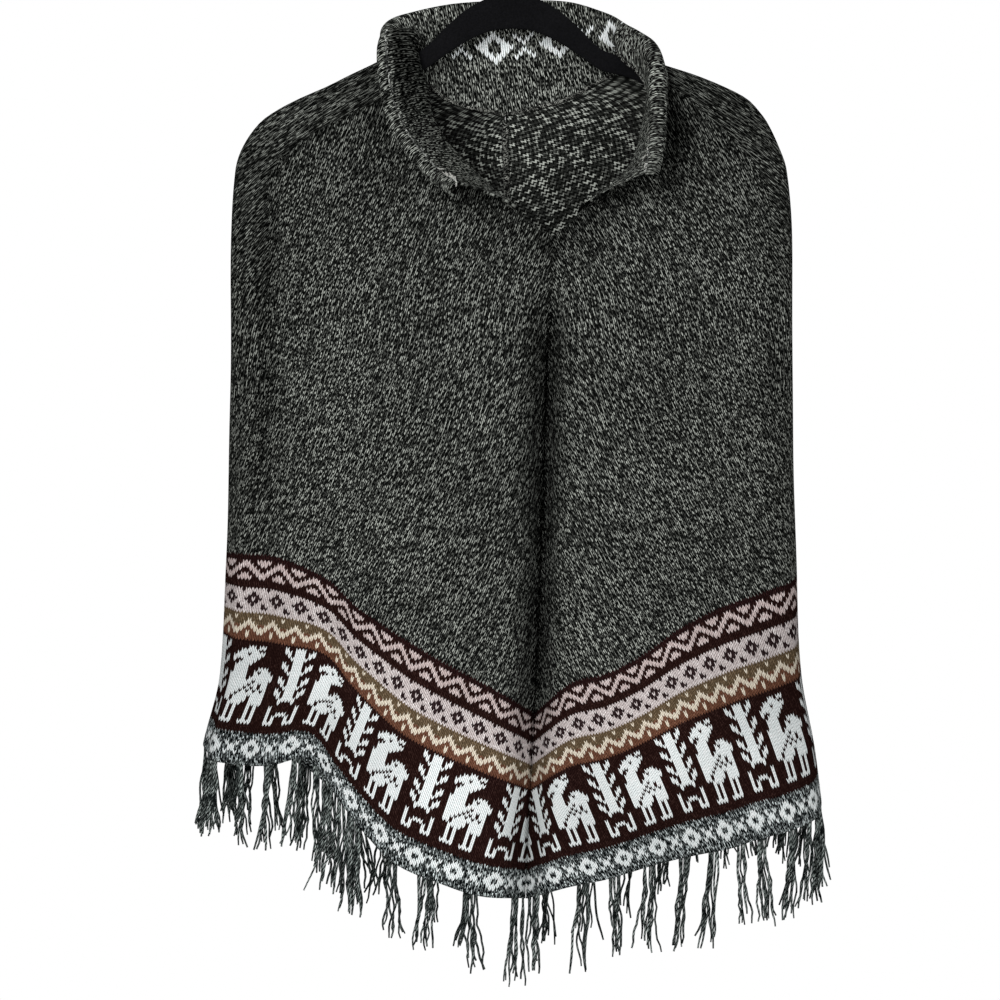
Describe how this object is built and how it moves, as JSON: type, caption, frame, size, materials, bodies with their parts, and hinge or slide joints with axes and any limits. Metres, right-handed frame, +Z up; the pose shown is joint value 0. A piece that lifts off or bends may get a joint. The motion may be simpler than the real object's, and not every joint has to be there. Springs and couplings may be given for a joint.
{
  "type": "andean poncho on clothes hanger",
  "caption": "Knitted poncho with a V neck, a turned collar, a patterned border and a fringe, hung on a flat velvet clothes hanger.",
  "frame": {"origin": "the underside of the hanger hook's top, where a rail meets it", "axes": "+Z up, -Y the poncho's front, +X the wearer's left"},
  "size_m": [0.5678, 0.1817, 0.9776],
  "materials": {
    "ground_knit": "charcoal marl stockinette knit with a colour-patterned border",
    "collar_knit": "charcoal marl stockinette knit with a row of white lozenges",
    "fringe_yarn": "two-ply marled yarn",
    "velvet": "black flocked velvet over plastic",
    "steel": "bright steel wire"
  },
  "bodies": {
    "root": {"right_half": "ground_knit", "left_half": "ground_knit", "collar": "collar_knit", "right_fringe": "fringe_yarn", "left_fringe": "fringe_yarn", "hanger_body": "velvet", "hanger_hook": "steel"}
  },
  "joints": []
}
